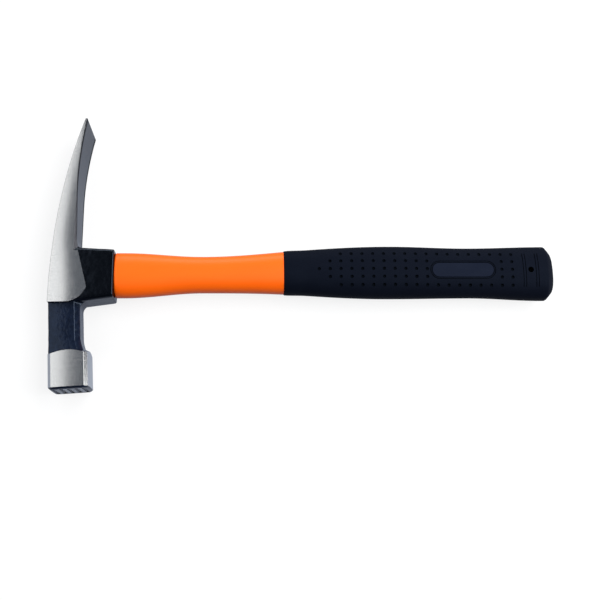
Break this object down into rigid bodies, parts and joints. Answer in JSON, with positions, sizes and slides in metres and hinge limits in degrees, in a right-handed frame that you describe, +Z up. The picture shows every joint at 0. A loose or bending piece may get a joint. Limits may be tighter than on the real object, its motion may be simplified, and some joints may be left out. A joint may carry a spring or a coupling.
{
  "type": "bricklayer's hammer",
  "caption": "Hammer with a forged head, a square milled striking face, a flared chisel blade and a moulded fibreglass handle with a soft rubber grip.",
  "frame": {"origin": "bottom centre of the whole hammer as it lies on its cheek", "axes": "+X along the handle from the head to the butt, +Y along the head towards the cutting edge, +Z up, square to the cheek"},
  "size_m": [0.332, 0.1802, 0.0344],
  "materials": {
    "head_steel": "ground bright on the blade, cheeks and striking block, black lacquer on the neck and collar",
    "fibreglass": "pultruded glass rod, lengthwise fibres in resin",
    "orange_plastic": "smooth moulded orange plastic, satin gloss",
    "grip_rubber": "soft moulded rubber, fine matt grain",
    "resin": "cast dark resin, slightly glossy"
  },
  "bodies": {
    "root": {"hammer_head": "head_steel", "handle_core": "fibreglass", "handle_jacket": "orange_plastic", "grip": "grip_rubber", "epoxy_bond": "resin"}
  },
  "joints": []
}
